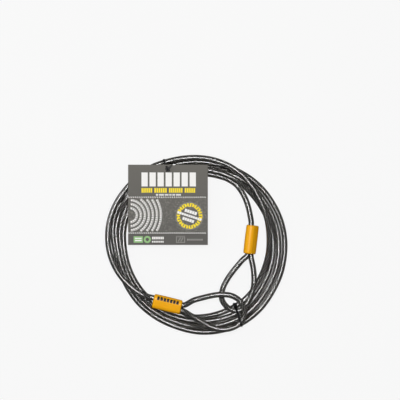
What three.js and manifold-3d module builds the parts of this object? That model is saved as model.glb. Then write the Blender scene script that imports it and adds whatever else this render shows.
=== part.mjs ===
// A looped steel security cable, coiled and tied for the shop peg.
// Millimetres, +Z up. The coil lies flat on Z = 0 with its axis on the Z axis.
// The cable starts at the left sleeve, runs over the coil, makes its turns and
// ends at the right sleeve. Past each sleeve it folds back into an eye.
import * as THREE from 'three';
import { mergeVertices } from 'three/addons/utils/BufferGeometryUtils.js';
import Module from 'manifold-3d';

const wasm = await Module();
wasm.setup();

// ---------- driving dimensions ----------
const gap = 0.3; // between pieces that touch
const cableDiameter = 10; // over the vinyl jacket
const coreDiameter = 7.2; // steel wire rope
const jacketBore = 8.2;
const cableSides = 12;

const coilInnerRadius = 123;
const coilOuterRadius = 168;
const coilHeight = 19; // two staggered layers of cable
const coilEdge = 4.5; // bevel of the bundle's four corners
const coilSegments = 96;

const ferruleLength = 38;
const ferruleWall = 1.8;
const sleeveLength = 51.5;
const sleeveSideWall = 1.9;
const sleeveFaceWall = 2.8;

const tagWidth = 143;
const tagHeight = 144;
const tagThickness = 0.8;
const tagHole = 6.4;
const tagHoleInset = { left: 71, top: 9 }; // hole centre from the card's corner

const strapWidth = 3;
const strapThickness = 1.2;
const tieHead = { along: 8, across: 6.5, high: 4.6 };
const tieTail = { width: 2.6, thick: 1 };
const eyeTieTailLength = 7; // trimmed short
const tagTieTailLength = 12;

// ---------- derived sizes ----------
const cableRadius = cableDiameter / 2;
const legSpacing = cableDiameter + gap; // the two legs side by side in a sleeve
const ferruleHeight = jacketBore + 2 * ferruleWall;
const ferruleWidth = legSpacing + ferruleHeight;
const sleeveHeight = ferruleHeight + 2 * (gap + sleeveFaceWall);
const sleeveWidth = ferruleWidth + 2 * (gap + sleeveSideWall);
const jacketStart = ferruleLength / 2 + gap; // where a leg's jacket meets the ferrule

const onCoil = coilHeight + gap + cableRadius; // cable centre when it lies on the bundle
const rightEyeHigh = cableDiameter + gap + cableRadius; // one cable below it
const leftEyeHigh = Math.max(onCoil, rightEyeHigh + cableDiameter + 2 * gap);
const tagBottom = coilHeight + 2.2;
const tagTop = tagBottom + tagThickness;

const rad = THREE.MathUtils.degToRad;
const v3 = (x, y, z) => new THREE.Vector3(x, y, z);
const polar = (radius, degrees, z) => v3(radius * Math.cos(rad(degrees)), radius * Math.sin(rad(degrees)), z);

// ---------- materials ----------
const paint = (color, roughness, metalness = 0) => new THREE.MeshStandardMaterial({ color, roughness, metalness });
const vinyl = () => paint(0x5a5853, 0.25, 0.3);
const steel = () => paint(0x8d8c88, 0.4, 0.9);
const aluminium = () => paint(0xb4b5b6, 0.45, 0.9);
const yellowPlastic = () => paint(0xe9a41c, 0.4);
const blackNylon = () => paint(0x151515, 0.5);
const card = () => paint(0x64615c, 0.55);

// ---------- solids ----------
function toSolid(geometry) {
  const bare = geometry.clone();
  bare.deleteAttribute('normal');
  bare.deleteAttribute('uv');
  const merged = mergeVertices(bare, 1e-4);
  const mesh = new wasm.Mesh({
    numProp: 3,
    vertProperties: new Float32Array(merged.attributes.position.array),
    triVerts: new Uint32Array(merged.index.array),
  });
  return new wasm.Manifold(mesh);
}

function toGeometry(solid) {
  const mesh = solid.getMesh();
  const geometry = new THREE.BufferGeometry();
  geometry.setAttribute('position', new THREE.BufferAttribute(new Float32Array(mesh.vertProperties), 3));
  geometry.setIndex(new THREE.BufferAttribute(new Uint32Array(mesh.triVerts), 1));
  geometry.computeVertexNormals();
  return geometry;
}

const placed = (geometry, matrix) => geometry.clone().applyMatrix4(matrix);

function roundSection(radius, sides = cableSides) {
  const shape = new THREE.Shape();
  for (let i = 0; i < sides; i += 1) {
    const angle = ((i + 0.5) / sides) * 2 * Math.PI;
    const point = [radius * Math.cos(angle), radius * Math.sin(angle)];
    if (i === 0) shape.moveTo(...point);
    else shape.lineTo(...point);
  }
  shape.closePath();
  return shape;
}

// A round tube or rod of constant section along a smooth curve.
function sweep(points, radius, spacing, bore = 0) {
  const curve = new THREE.CatmullRomCurve3(points, false, 'centripetal');
  const shape = roundSection(radius);
  if (bore > 0) shape.holes.push(roundSection(bore));
  const steps = Math.ceil(curve.getLength() / spacing);
  return new THREE.ExtrudeGeometry(shape, { extrudePath: curve, steps, bevelEnabled: false });
}

// A rod from x = from to x = to, at (y, 0) in a sleeve's own frame.
function rodAlongX(from, to, y, radius) {
  const rod = new THREE.CylinderGeometry(radius, radius, to - from, 20);
  rod.rotateZ(-Math.PI / 2);
  rod.translate((from + to) / 2, y, 0);
  return rod;
}

// An oval bar along X: a rectangle with round ends, width in Y and height in Z.
function ovalAlongX(length, width, height) {
  const r = height / 2;
  const half = width / 2 - r;
  const shape = new THREE.Shape();
  shape.moveTo(-half, -r);
  shape.lineTo(half, -r);
  shape.absarc(half, 0, r, -Math.PI / 2, Math.PI / 2, false);
  shape.lineTo(-half, r);
  shape.absarc(-half, 0, r, Math.PI / 2, 1.5 * Math.PI, false);
  const bar = new THREE.ExtrudeGeometry(shape, { depth: length, bevelEnabled: false, curveSegments: 10 });
  bar.translate(0, 0, -length / 2);
  bar.rotateX(Math.PI / 2);
  bar.rotateZ(Math.PI / 2);
  return bar;
}

// ---------- the two sleeves: where they lie, and the frame of each ----------
// X runs towards the eye, +Y towards the leg that is the cable's standing part.
function sleeveFrame(x, y, heading, standingSide, roll, lowest) {
  const axis = v3(Math.cos(rad(heading)), Math.sin(rad(heading)), 0);
  const flat = v3(-axis.y, axis.x, 0).multiplyScalar(standingSide);
  const side = flat.multiplyScalar(Math.cos(rad(roll))).add(v3(0, 0, Math.sin(rad(roll))));
  const up = axis.clone().cross(side);
  const halfFlat = (sleeveWidth - sleeveHeight) / 2;
  const z = lowest + sleeveHeight / 2 + halfFlat * Math.sin(rad(roll));
  return new THREE.Matrix4().makeBasis(axis, side, up).setPosition(x, y, z);
}

const leftFrame = sleeveFrame(-55, -106, -13.5, 1, 12, coilHeight + gap);
const rightFrame = sleeveFrame(95.5, 9, -96.7, -1, 52, gap);
const inFrame = (frame, x, y) => v3(x, y, 0).applyMatrix4(frame);

// Each way out of a sleeve is straight from the ferrule to a little past the sleeve's end,
// and for most of the tube's first step.
const tubeStep = 12;
const straightEnd = Math.max(sleeveLength / 2 + 4, jacketStart + 0.86 * tubeStep);
const straightOut = [jacketStart, sleeveLength / 2, straightEnd];
const legOut = (frame, side) => straightOut.map((x) => inFrame(frame, x, (side * legSpacing) / 2));
const leadOut = (frame) => straightOut.map((x) => inFrame(frame, -x, legSpacing / 2));

// ---------- the cable's routes outside the coil ----------
const leftEyeRoute = [
  ...legOut(leftFrame, 1),
  v3(-8, -99.5, leftEyeHigh + 1),
  v3(8, -95, leftEyeHigh),
  v3(25, -91, leftEyeHigh),
  v3(43, -89, leftEyeHigh),
  v3(61, -91.5, leftEyeHigh),
  v3(75, -100.5, leftEyeHigh),
  v3(82.5, -115, leftEyeHigh),
  v3(82, -129.5, leftEyeHigh),
  v3(73.5, -142, leftEyeHigh),
  v3(57.5, -150, leftEyeHigh),
  v3(38, -151.5, leftEyeHigh),
  v3(18, -144.5, leftEyeHigh),
  v3(0, -134, leftEyeHigh),
  v3(-15, -125.5, leftEyeHigh + 0.5),
  ...legOut(leftFrame, -1).reverse(),
];

const rightEyeRoute = [
  ...legOut(rightFrame, 1),
  v3(82, -25.5, rightEyeHigh + 1.5),
  v3(71, -38, rightEyeHigh + 1),
  v3(60.5, -51, rightEyeHigh + 0.5),
  v3(51.5, -64.5, rightEyeHigh),
  v3(45.5, -76.5, rightEyeHigh),
  v3(42.5, -88.5, rightEyeHigh),
  v3(42.8, -98, rightEyeHigh),
  v3(47, -106.5, rightEyeHigh),
  v3(54.5, -114, rightEyeHigh),
  v3(63.5, -118.5, rightEyeHigh),
  v3(73, -119, rightEyeHigh),
  v3(81.5, -114, rightEyeHigh),
  v3(88.5, -105, rightEyeHigh),
  v3(94.5, -93.5, rightEyeHigh),
  v3(99, -80.5, rightEyeHigh),
  v3(100.8, -67, rightEyeHigh),
  v3(100.6, -54, rightEyeHigh - 1.5),
  v3(99, -40, rightEyeHigh - 3.5),
  ...legOut(rightFrame, -1).reverse(),
];

// Out of the left sleeve, over the turns to the outside, then down among them.
const leftLeadRoute = [
  ...leadOut(leftFrame),
  polar(133, 222.5, onCoil + 3),
  polar(139.5, 215, onCoil + 1),
  polar(147.5, 205, onCoil),
  polar(154, 195, onCoil),
  polar(159, 185, onCoil),
  polar(162, 176, onCoil - 1.5),
  polar(164, 167, onCoil - 4.5),
  polar(164.5, 158, onCoil - 8),
  polar(164, 150, onCoil - 10.5),
];

// Out of the right sleeve, up and round to the inner side of the turns.
const rightLeadRoute = [
  ...leadOut(rightFrame),
  v3(93.8, 52, cableRadius + 10),
  v3(90.6, 67, cableRadius + 8),
  v3(85.5, 82, cableRadius + 6),
  v3(78.5, 95.5, cableRadius + 3.5),
  polar(128, 57, cableRadius + 1.2),
  polar(129.5, 65, cableRadius + 0.3),
];

// ---------- ties: a band in an upright plane, fused to its head and tail ----------
// Moves each corner of a closed outline outwards by the same distance from its edges.
function offsetOutline(points, distance) {
  return points.map((point, i) => {
    const before = points[(i + points.length - 1) % points.length];
    const after = points[(i + 1) % points.length];
    const inDir = point.clone().sub(before).normalize();
    const outDir = after.clone().sub(point).normalize();
    const inNormal = new THREE.Vector2(inDir.y, -inDir.x);
    const outNormal = new THREE.Vector2(outDir.y, -outDir.x);
    const mid = inNormal.clone().add(outNormal).normalize();
    return point.clone().addScaledVector(mid, distance / mid.dot(inNormal));
  });
}

// Corners as rounds: each is cut back and bridged by a few points of a curve.
function roundOutline(points, cut) {
  const rounded = [];
  points.forEach((point, i) => {
    const before = points[(i + points.length - 1) % points.length];
    const after = points[(i + 1) % points.length];
    const start = point.clone().addScaledVector(before.clone().sub(point).normalize(), cut);
    const end = point.clone().addScaledVector(after.clone().sub(point).normalize(), cut);
    rounded.push(...new THREE.QuadraticBezierCurve(start, point, end).getPoints(4));
  });
  return rounded;
}

// The band's centre line is a counter-clockwise outline in (out, up).
function bandGeometry(outline, thickness, width) {
  const shape = new THREE.Shape(offsetOutline(outline, thickness / 2));
  shape.holes.push(new THREE.Path(offsetOutline(outline, -thickness / 2)));
  const band = new THREE.ExtrudeGeometry(shape, { depth: width, bevelEnabled: false });
  band.translate(0, 0, -width / 2);
  band.rotateX(Math.PI / 2);
  return band;
}

// The upright plane: its X runs outwards at the given heading from (x, y).
const uprightPlane = (x, y, heading) => new THREE.Matrix4()
  .makeRotationZ(rad(heading))
  .setPosition(x, y, 0);

function headGeometry(out, up) {
  const head = new THREE.BoxGeometry(tieHead.along, tieHead.across, tieHead.high);
  head.translate(out, 0, up);
  return head;
}

function tailGeometry(out, up, length, turn) {
  const tail = new THREE.BoxGeometry(length, tieTail.width, tieTail.thick);
  tail.translate(length / 2, 0, 0);
  tail.rotateZ(rad(turn));
  tail.translate(out, 0, up);
  return tail;
}

const tieFloor = gap + strapThickness / 2;
const strapLift = gap + strapThickness / 2; // centre of a strap that lies on something

const strapCorner = 1.6;

// The eye tie holds both eyes to the bundle. Its plane's zero is near the bundle's middle.
const eyeTieAt = { x: 72.5, y: -128.5, heading: -72 };
const eyeTiePlane = uprightPlane(eyeTieAt.x, eyeTieAt.y, eyeTieAt.heading);

// How far out the tie's plane meets a circle round the coil's axis.
function outToCircle(radius) {
  const away = rad(eyeTieAt.heading);
  const along = eyeTieAt.x * Math.cos(away) + eyeTieAt.y * Math.sin(away);
  const across = eyeTieAt.x * Math.sin(away) - eyeTieAt.y * Math.cos(away);
  return Math.sqrt(radius ** 2 - across ** 2) - along;
}

const eyeTieIn = -21; // inside the right eye's tip
const leftEyeOut = 19.5; // outside of the left eye's tip
const eyeTieOut = Math.max(outToCircle(coilOuterRadius), leftEyeOut) + strapLift;
const overRightEye = Math.max(rightEyeHigh + cableRadius, coilHeight) + strapLift + 0.6;
const overLeftEye = leftEyeHigh + cableRadius + strapLift;
const stepUp = { from: -4.5, to: -1 }; // beside the left eye's inner side
const shoulder = { out: 4, down: 7 }; // slope over the left eye's outer side
const eyeTieOutline = roundOutline([
  new THREE.Vector2(eyeTieIn, tieFloor),
  new THREE.Vector2(eyeTieOut, tieFloor),
  new THREE.Vector2(eyeTieOut, overLeftEye - shoulder.down),
  new THREE.Vector2(eyeTieOut - shoulder.out, overLeftEye),
  new THREE.Vector2(stepUp.to, overLeftEye),
  new THREE.Vector2(stepUp.from, overRightEye),
  new THREE.Vector2(eyeTieIn, overRightEye),
], strapCorner);

// The tag tie goes down through the card's hole and round the outer turns.
const holeFromEdge = 23; // the card's hole is this far inside the bundle's outer side
const holeRadius = coilOuterRadius - holeFromEdge;
const holeAngle = 112;
const tagTiePlane = uprightPlane(0, 0, holeAngle);
const tagTieOut = coilOuterRadius + strapLift;
const overTag = Math.max(tagTop, coilHeight) + strapLift + 0.2;
const tagShoulder = { out: 5, down: 6 };
const tagTieOutline = roundOutline([
  new THREE.Vector2(holeRadius, tieFloor),
  new THREE.Vector2(tagTieOut, tieFloor),
  new THREE.Vector2(tagTieOut, overTag - tagShoulder.down),
  new THREE.Vector2(tagTieOut - tagShoulder.out, overTag),
  new THREE.Vector2(holeRadius, overTag),
], strapCorner);

function tieSolid(outline, plane, headOut, headUp, tailLength, tailTurn) {
  const pieces = [
    bandGeometry(outline, strapThickness, strapWidth),
    headGeometry(headOut, headUp),
    tailGeometry(headOut, headUp, tailLength, tailTurn),
  ].map((piece) => toSolid(placed(piece, plane)));
  return pieces[0].add(pieces[1]).add(pieces[2]);
}

const headRise = tieHead.high / 2 - strapThickness / 2;
const eyeTieSolid = tieSolid(
  eyeTieOutline, eyeTiePlane, eyeTieIn + tieHead.along / 4, overRightEye + headRise,
  eyeTieTailLength, 150,
);
const tagTieSolid = tieSolid(
  tagTieOutline, tagTiePlane, holeRadius, overTag + headRise, tagTieTailLength, -75,
);

// The room that a strap takes in the coil's bundle.
const strapRoom = (outline, plane) => toSolid(
  placed(bandGeometry(outline, strapThickness + 2 * gap, strapWidth + 2 * gap), plane),
);

// ---------- the coil: the outer shape of the wound turns ----------
function coilSolid() {
  const inner = coilInnerRadius;
  const outer = coilOuterRadius;
  const profile = [
    [inner + coilEdge, 0], [outer - coilEdge, 0], [outer, coilEdge],
    [outer, coilHeight - coilEdge], [outer - coilEdge, coilHeight],
    [inner + coilEdge, coilHeight], [inner, coilHeight - coilEdge], [inner, coilEdge],
    [inner + coilEdge, 0],
  ].map(([radius, z]) => new THREE.Vector2(radius, z));
  const ring = new THREE.LatheGeometry(profile, coilSegments);
  ring.rotateX(Math.PI / 2);
  return toSolid(ring);
}

// The room of a lead, which runs a little past the lead's own end.
function leadRoom(route) {
  const last = route[route.length - 1];
  const past = last.clone().sub(route[route.length - 2]).normalize();
  const longer = [...route.slice(3), last.clone().addScaledVector(past, 2 * gap)];
  return toSolid(sweep(longer, cableRadius + 2 * gap, tubeStep));
}

// ---------- assembly ----------
const lock = new THREE.Group();

function addPiece(name, geometry, material, parent = lock) {
  const mesh = new THREE.Mesh(geometry, material);
  mesh.name = name;
  parent.add(mesh);
}

const rightEyeRoom = toSolid(sweep(rightEyeRoute, cableRadius + 2 * gap, tubeStep));
const coil = coilSolid()
  .subtract(leadRoom(leftLeadRoute))
  .subtract(leadRoom(rightLeadRoute))
  .subtract(rightEyeRoom)
  .subtract(strapRoom(eyeTieOutline, eyeTiePlane))
  .subtract(strapRoom(tagTieOutline, tagTiePlane));
addPiece('cable_coil', toGeometry(coil), vinyl());
addPiece('left_lead', sweep(leftLeadRoute, cableRadius, tubeStep), vinyl());
addPiece('right_lead', sweep(rightLeadRoute, cableRadius, tubeStep), vinyl());

// The rope in an eye, with its two legs carried on through the ferrule.
function eyeCore(route, frame) {
  const legEnd = jacketStart + 1.5;
  const standing = placed(rodAlongX(-ferruleLength / 2, legEnd, legSpacing / 2, coreDiameter / 2), frame);
  const folded = placed(rodAlongX(2 - ferruleLength / 2, legEnd, -legSpacing / 2, coreDiameter / 2), frame);
  return toSolid(sweep(route, coreDiameter / 2, tubeStep)).add(toSolid(standing)).add(toSolid(folded));
}

// A pressed oval with a bore for each leg.
function ferruleSolid() {
  const reach = ferruleLength / 2 + 1;
  const bore = (side) => toSolid(rodAlongX(-reach, reach, (side * legSpacing) / 2, coreDiameter / 2 + gap));
  return toSolid(ovalAlongX(ferruleLength, ferruleWidth, ferruleHeight)).subtract(bore(1)).subtract(bore(-1));
}

// The moulded cover: a room for the ferrule, one hole behind and two in front.
function sleeveSolid() {
  const reach = sleeveLength / 2 + 1;
  const hole = (from, to, side) => toSolid(rodAlongX(from, to, (side * legSpacing) / 2, cableRadius + gap));
  return toSolid(ovalAlongX(sleeveLength, sleeveWidth, sleeveHeight))
    .subtract(toSolid(ovalAlongX(ferruleLength + 2 * gap, ferruleWidth + 2 * gap, ferruleHeight + 2 * gap)))
    .subtract(hole(-reach, reach, 1))
    .subtract(hole(0, reach, -1));
}

for (const [side, frame, route] of [
  ['left', leftFrame, leftEyeRoute],
  ['right', rightFrame, rightEyeRoute],
]) {
  addPiece(`${side}_eye_jacket`, sweep(route, cableRadius, tubeStep, jacketBore / 2), vinyl());
  addPiece(`${side}_eye_core`, toGeometry(eyeCore(route, frame)), steel());
  addPiece(`${side}_ferrule`, placed(toGeometry(ferruleSolid()), frame), aluminium());
  addPiece(`${side}_sleeve`, placed(toGeometry(sleeveSolid()), frame), yellowPlastic());
}

addPiece('eye_tie', toGeometry(eyeTieSolid), blackNylon());
addPiece('tag_tie', toGeometry(tagTieSolid), blackNylon());

// The card hangs from its hole, so it is placed by the hole's centre.
const tag = new THREE.Group();
tag.position.copy(polar(holeRadius, holeAngle, tagBottom));
lock.add(tag);
const tagShape = new THREE.Shape([
  new THREE.Vector2(-tagHoleInset.left, tagHoleInset.top - tagHeight),
  new THREE.Vector2(tagWidth - tagHoleInset.left, tagHoleInset.top - tagHeight),
  new THREE.Vector2(tagWidth - tagHoleInset.left, tagHoleInset.top),
  new THREE.Vector2(-tagHoleInset.left, tagHoleInset.top),
]);
tagShape.holes.push(new THREE.Path().absarc(0, 0, tagHole / 2, 0, 2 * Math.PI, true));
const tagOptions = { depth: tagThickness, bevelEnabled: false, curveSegments: 12 };
addPiece('hang_tag', new THREE.ExtrudeGeometry(tagShape, tagOptions), card(), tag);

export default lock;
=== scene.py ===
# A coiled security cable with two eyes, two moulded sleeves, two cable ties and a card hang tag.
# Shapes are worked out in millimetres with numpy and become metres when a mesh is made.
import math

import bmesh
import bpy
import numpy as np
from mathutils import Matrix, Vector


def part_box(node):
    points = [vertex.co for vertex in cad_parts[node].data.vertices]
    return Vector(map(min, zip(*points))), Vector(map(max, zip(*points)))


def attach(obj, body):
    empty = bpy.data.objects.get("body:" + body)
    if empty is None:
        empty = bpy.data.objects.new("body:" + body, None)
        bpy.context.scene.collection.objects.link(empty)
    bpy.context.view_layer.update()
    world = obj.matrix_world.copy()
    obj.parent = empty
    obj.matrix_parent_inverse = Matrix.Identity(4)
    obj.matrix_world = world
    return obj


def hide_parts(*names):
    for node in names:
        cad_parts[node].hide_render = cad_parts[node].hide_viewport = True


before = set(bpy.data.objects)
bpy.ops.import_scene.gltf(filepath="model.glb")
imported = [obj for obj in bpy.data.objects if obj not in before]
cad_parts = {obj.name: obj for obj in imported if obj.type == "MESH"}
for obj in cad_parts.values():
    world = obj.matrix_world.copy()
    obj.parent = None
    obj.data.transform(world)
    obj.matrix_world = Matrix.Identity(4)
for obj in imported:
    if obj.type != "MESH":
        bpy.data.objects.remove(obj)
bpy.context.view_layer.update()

mm = 0.001  # metres in a millimetre

# Camera, light and floor: places and sizes in mm, powers in watts
studio = {
    "lookAt": (3.6, 80.1, 12.0),
    "cameraHeight": 2600.0,
    "frameWidth": 720.0,
    "sensor": 36.0,
    "skyTop": "#f4f6f8",
    "skyEdge": "#95979a",
    "skyRise": 0.8,  # sine of the elevation where the sky has its top colour
    "skyStrength": 0.3,
    "keyPlace": (-170.0, 400.0, 2700.0),
    "keySize": (1250.0, 1100.0),
    "keyPower": 52.0,
    "fillPlace": (-2300.0, 1300.0, 1700.0),
    "fillSize": (1500.0, 1200.0),
    "fillPower": 16.0,
    "floorHalf": 6000.0,
    "floorColours": ("#4c4c4c", "#525251"),
    "floorGlow": 0.86,
}


def linear(hexColour):
    # sRGB hex to linear: (c / 12.92) below 0.04045, ((c + 0.055) / 1.055) ^ 2.4 above
    parts = [int(hexColour[i : i + 2], 16) / 255 for i in (1, 3, 5)]
    return [c / 12.92 if c <= 0.04045 else ((c + 0.055) / 1.055) ** 2.4 for c in parts] + [1.0]


def add(tree, kind, inputs=None, **settings):
    # one node, with its settings, and its inputs given as values or as sockets to link
    made = tree.nodes.new(kind)
    for key, value in settings.items():
        setattr(made, key, value)
    for socket, value in (inputs or {}).items():
        if isinstance(value, bpy.types.NodeSocket):
            tree.links.new(value, made.inputs[socket])
        else:
            made.inputs[socket].default_value = value
    return made


def math2(tree, operation, a, b=0.0):
    return add(tree, "ShaderNodeMath", {0: a, 1: b}, operation=operation).outputs[0]


def mixColour(tree, factor, a, b):
    return add(tree, "ShaderNodeMix", {0: factor, 6: a, 7: b}, data_type="RGBA").outputs[2]


def metres(values):
    return [v * mm for v in values]


def makeCamera():
    camera = bpy.data.cameras.new("camera")
    camera.sensor_width = studio["sensor"]
    camera.lens = studio["sensor"] * (studio["cameraHeight"] - studio["lookAt"][2]) / studio["frameWidth"]
    camera.clip_end = 60.0  # metres, past the floor's far corners
    holder = bpy.data.objects.new("camera", camera)
    x, y, _ = studio["lookAt"]
    holder.location = metres((x, y, studio["cameraHeight"]))
    bpy.context.scene.collection.objects.link(holder)
    bpy.context.scene.camera = holder


def makeLamp(name, place, size, power):
    # a soft box at a place, tilted back towards the middle of the floor
    lamp = bpy.data.lights.new(name, "AREA")
    lamp.shape = "RECTANGLE"
    lamp.size, lamp.size_y = metres(size)
    lamp.energy = power
    holder = bpy.data.objects.new(name, lamp)
    holder.location = metres(place)
    x, y, z = place
    holder.rotation_euler = (-math.atan2(y, z), math.atan2(x, math.hypot(y, z)), 0.0)
    bpy.context.scene.collection.objects.link(holder)


def makeSky():
    world = bpy.data.worlds.new("studio")
    bpy.context.scene.world = world
    world.use_nodes = True
    tree = world.node_tree
    tree.nodes.clear()
    place = add(tree, "ShaderNodeTexCoord")
    axes = add(tree, "ShaderNodeSeparateXYZ", {0: place.outputs["Generated"]})
    height = add(tree, "ShaderNodeMapRange", {"Value": axes.outputs["Z"], "From Max": studio["skyRise"]})
    shade = mixColour(tree, height.outputs[0], linear(studio["skyEdge"]), linear(studio["skyTop"]))
    glow = add(tree, "ShaderNodeBackground", {"Color": shade, "Strength": studio["skyStrength"]})
    add(tree, "ShaderNodeOutputWorld", {"Surface": glow.outputs[0]})


makeCamera()
makeSky()
makeLamp("keyLamp", studio["keyPlace"], studio["keySize"], studio["keyPower"])
makeLamp("fillLamp", studio["fillPlace"], studio["fillSize"], studio["fillPower"])
bpy.context.scene.view_settings.view_transform = "Standard"
bpy.context.scene.cycles.use_denoising = True
print("camera, sky and lamps made")


def makePiece(name, points, faces, material, uv=None, smooth=True, merge=False):
    # points in millimetres, faces as an (n, 4) array or a list; uv has one pair for each face corner
    mesh = bpy.data.meshes.new(name)
    corners = faces.tolist() if isinstance(faces, np.ndarray) else faces
    mesh.from_pydata((np.asarray(points) * mm).tolist(), [], corners)
    if uv is not None:
        layer = mesh.uv_layers.new(name="surface")
        layer.data.foreach_set("uv", np.asarray(uv, dtype=np.float32).ravel())
    if merge:
        work = bmesh.new()
        work.from_mesh(mesh)
        bmesh.ops.remove_doubles(work, verts=work.verts, dist=1e-6)
        bmesh.ops.recalc_face_normals(work, faces=work.faces)
        work.to_mesh(mesh)
        work.free()
    mesh.polygons.foreach_set("use_smooth", np.full(len(mesh.polygons), smooth))
    piece = bpy.data.objects.new(name, mesh)
    piece.data.materials.append(material)
    bpy.context.scene.collection.objects.link(piece)
    return piece


def gridFaces(rows, columns, wrap=True):
    # face (i, j) joins points (i, j), (i, j+1), (i+1, j+1) and (i+1, j)
    i, j = np.meshgrid(np.arange(rows - 1), np.arange(columns if wrap else columns - 1), indexing="ij")
    k = (j + 1) % columns
    return np.stack([i * columns + j, i * columns + k, (i + 1) * columns + k, (i + 1) * columns + j],
                    axis=-1).reshape(-1, 4)


def gridUv(across, along):
    # the corners of each face of a wrapped grid, with across at the columns and along at the rows
    i, j = np.meshgrid(np.arange(len(along) - 1), np.arange(len(across) - 1), indexing="ij")
    u = np.stack([across[j], across[j + 1], across[j + 1], across[j]], axis=-1)
    v = np.stack([along[i], along[i], along[i + 1], along[i + 1]], axis=-1)
    return np.stack([u, v], axis=-1).reshape(-1, 2)


def lengthAlong(line):
    return np.concatenate([[0.0], np.cumsum(np.linalg.norm(np.diff(line, axis=0), axis=1))])


def evenSteps(curve, spacing):
    along = lengthAlong(curve)
    at = np.linspace(0.0, along[-1], max(2, round(along[-1] / spacing) + 1))
    return np.stack([np.interp(at, along, curve[:, k]) for k in range(3)], axis=1)


def smoothLine(points, spacing):
    # a centripetal Catmull-Rom curve through the points, cut into equal steps
    p = np.asarray(points, dtype=float)
    knot = np.concatenate([[0.0], np.cumsum(np.sqrt(np.linalg.norm(np.diff(p, axis=0), axis=1)))])
    slope = np.empty_like(p)
    width = np.diff(knot)[:, None]
    chord = np.diff(p, axis=0) / width
    slope[1:-1] = (chord[:-1] * width[1:] + chord[1:] * width[:-1]) / (width[:-1] + width[1:])
    slope[0], slope[-1] = chord[0], chord[-1]
    finePerPoint = 40
    fine = np.linspace(0.0, knot[-1], finePerPoint * len(p))
    i = np.clip(np.searchsorted(knot, fine, side="right") - 1, 0, len(p) - 2)
    span = (knot[i + 1] - knot[i])[:, None]
    t = (fine - knot[i])[:, None] / span
    curve = ((2 * t**3 - 3 * t**2 + 1) * p[i] + (t**3 - 2 * t**2 + t) * span * slope[i]
             + (3 * t**2 - 2 * t**3) * p[i + 1] + (t**3 - t**2) * span * slope[i + 1])
    return evenSteps(curve, spacing)


def pathFrames(line):
    # at each point the side = level and square to the path, and the up = path x side
    run = np.gradient(line, axis=0)
    run /= np.linalg.norm(run, axis=1, keepdims=True)
    side = np.cross([0.0, 0.0, 1.0], run)
    side /= np.linalg.norm(side, axis=1, keepdims=True)
    return side, np.cross(run, side)


def tubeAlong(line, radius, angle):
    # point (i, j) = line i + radius (i, j) * (side cos angle + up sin angle)
    side, up = pathFrames(line)
    outward = np.cos(angle)[..., None] * side[:, None, :] + np.sin(angle)[..., None] * up[:, None, :]
    return line[:, None, :] + np.asarray(radius)[..., None] * outward


def newMaterial(name, build):
    material = bpy.data.materials.new(name)
    material.use_nodes = True
    tree = material.node_tree
    tree.nodes.clear()
    add(tree, "ShaderNodeOutputMaterial", {"Surface": build(tree)})
    return material


def noiseOf(tree, scale, detail=3.0, roughness=0.55):
    # scale is how many clouds there are in a metre
    place = add(tree, "ShaderNodeTexCoord")
    noise = add(tree, "ShaderNodeTexNoise", {"Vector": place.outputs["Object"], "Scale": scale,
                                            "Detail": detail, "Roughness": roughness})
    return noise.outputs[0]


def rangeOf(tree, value, low, high):
    return add(tree, "ShaderNodeMapRange", {"Value": value, "To Min": low, "To Max": high}).outputs[0]


vinyl = {
    "tint": "#a8a6a3",
    "ior": 1.55,
    "roughness": (0.04, 0.1),
    "waveScale": 60.0,  # per metre: soft waves about 16 mm long, left by the extruder
    "waveHeight": 0.00002,
    "scuffScale": 900.0,
    "coat": {"Coat Weight": 0.7, "Coat Roughness": 0.04, "Coat IOR": 1.6},
}


def clearVinyl(tree):
    # Plasticised PVC, extruded over the rope, smoke tinted: a wet gloss with soft waves, clear to the steel.
    # Lamp light is let through to the steel, as the thin skin hardly dims it.
    wave = noiseOf(tree, vinyl["waveScale"])
    bump = add(tree, "ShaderNodeBump", {"Height": wave, "Distance": vinyl["waveHeight"], "Strength": 1.0})
    scuff = rangeOf(tree, noiseOf(tree, vinyl["scuffScale"]), *vinyl["roughness"])
    skin = add(tree, "ShaderNodeBsdfPrincipled", {
        "Base Color": linear(vinyl["tint"]), "Transmission Weight": 1.0, "IOR": vinyl["ior"],
        "Roughness": scuff, "Normal": bump.outputs[0], **vinyl["coat"],
    })
    clear = add(tree, "ShaderNodeBsdfTransparent", {"Color": linear(vinyl["tint"])})
    rays = add(tree, "ShaderNodeLightPath")
    return add(tree, "ShaderNodeMixShader", {0: rays.outputs["Is Shadow Ray"], 1: skin.outputs[0],
                                            2: clear.outputs[0]}).outputs[0]


rope = {
    "strands": 6,
    "radius": 3.9,
    "lay": 54.0,  # mm for one full twist of the strands
    "wirePitch": 3.4,  # mm along the rope from wire to wire; real wires are finer than this
    "wiresAcross": 2.0,
    "wireHeight": 0.0006,  # metres, which is deeper than real, so that the wires show
    # the wire pattern below is painted highlight on each wire's crown and painted shade between the wires
    "crownPower": 1.5,  # above 1, the bright crown of each wire is narrower
    # valley sets where the near-black painted shade in the grooves between strands starts and ends
    "valley": (0.48, 0.24),  # shares of a strand from its crown, from full groove to none
    "roughness": (0.45, 0.28),
    # bright is the steel at a wire's crown; the two darker colours are painted shade, between wires and in
    # the grooves between strands
    "bright": "#c3c0bb",
    "shadeBetweenWires": "#0d0c0c",
    "grooveShade": "#020202",
}


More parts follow.
